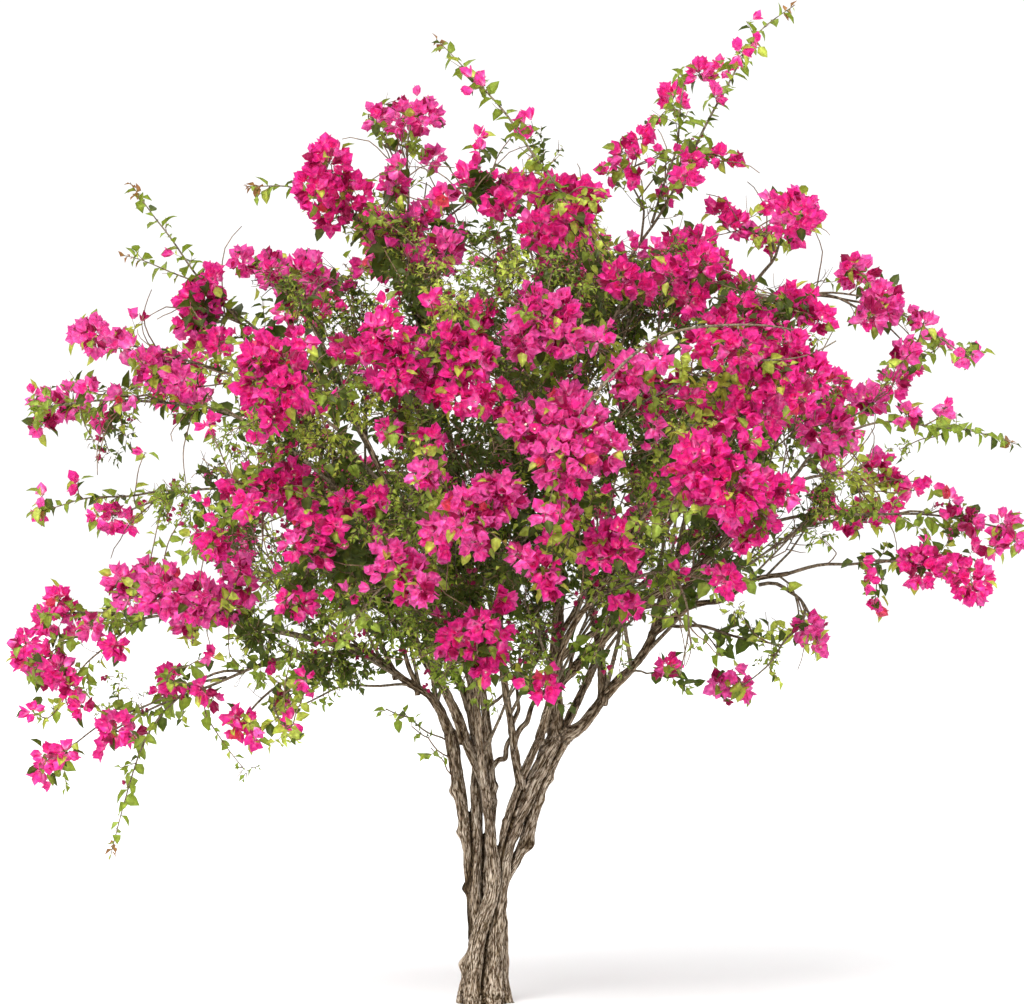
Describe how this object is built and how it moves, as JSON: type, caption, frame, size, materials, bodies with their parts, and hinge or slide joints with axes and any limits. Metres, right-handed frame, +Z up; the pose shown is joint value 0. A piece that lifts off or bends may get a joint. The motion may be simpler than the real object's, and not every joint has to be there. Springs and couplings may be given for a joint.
{
  "type": "bougainvillea trained as a small tree",
  "caption": "Flowering bougainvillea grown as a small tree: a trunk of twined stems rooted in the ground, spreading boughs and an open, rounded crown of leaves and papery blossom.",
  "frame": {"origin": "middle of the flat cut under the trunk, at ground level", "axes": "+Z up along the trunk, +X to the viewer's right and -Y towards the viewer of the pictured side"},
  "size_m": [3.0276, 2.3781, 2.9928],
  "materials": {
    "bark": "fissured grey-brown bark",
    "twigs": "thin reddish-brown twigs",
    "bracts": "papery magenta-pink bracts with darker veins",
    "leaves": "satin green leaves",
    "flowers": "small cream flowers"
  },
  "bodies": {
    "root": {"back_bough": "bark", "back_left_bough": "bark", "back_left_inner_spray": "bracts", "back_left_spray": "bracts", "back_right_bough": "bark", "back_right_inner_spray": "bracts", "back_right_spray": "bracts", "back_top_left_spray": "bracts", "back_top_right_spray": "bracts", "centre_bough": "bark", "far_left_spray": "bracts", "far_right_spray": "bracts", "front_high_spray": "bracts", "front_left_bough": "bark", "front_left_spray": "bracts", "front_low_left_spray": "bracts", "front_low_right_spray": "bracts", "front_low_spray": "bracts", "front_right_bough": "bark", "front_spray": "bracts", "front_upper_left_spray": "bracts", "high_right_spray": "bracts", "left_front_spray": "bracts", "left_high_bough": "bark", "left_high_spray": "bracts", "left_inner_spray": "bracts", "left_low_bough": "bark", "left_low_front_spray": "bracts", "left_low_spray": "bracts", "left_middle_bough": "bark", "left_middle_spray": "bracts", "left_outer_spray": "bracts", "left_shoulder_spray": "bracts", "left_stem": "bark", "left_tip_spray": "bracts", "low_left_inner_spray": "bracts", "low_left_spray": "bracts", "low_right_inner_spray": "bracts", "low_right_spray": "bracts", "right_front_high_spray": "bracts", "right_front_low_spray": "bracts", "right_front_spray": "bracts", "right_high_bough": "bark", "right_inner_spray": "bracts", "right_low_bough": "bark", "right_low_spray": "bracts", "right_middle_bough": "bark", "right_shoulder_spray": "bracts", "right_spray": "bracts", "right_stem": "bark", "top_centre_spray": "bracts", "top_left_bough": "bark", "top_left_spray": "bracts", "top_right_bough": "bark", "top_right_spray": "bracts", "top_spray": "bracts", "trunk": "bark", "upper_left_spray": "bracts", "upper_right_bough": "bark", "upper_right_spray": "bracts"}
  },
  "joints": []
}
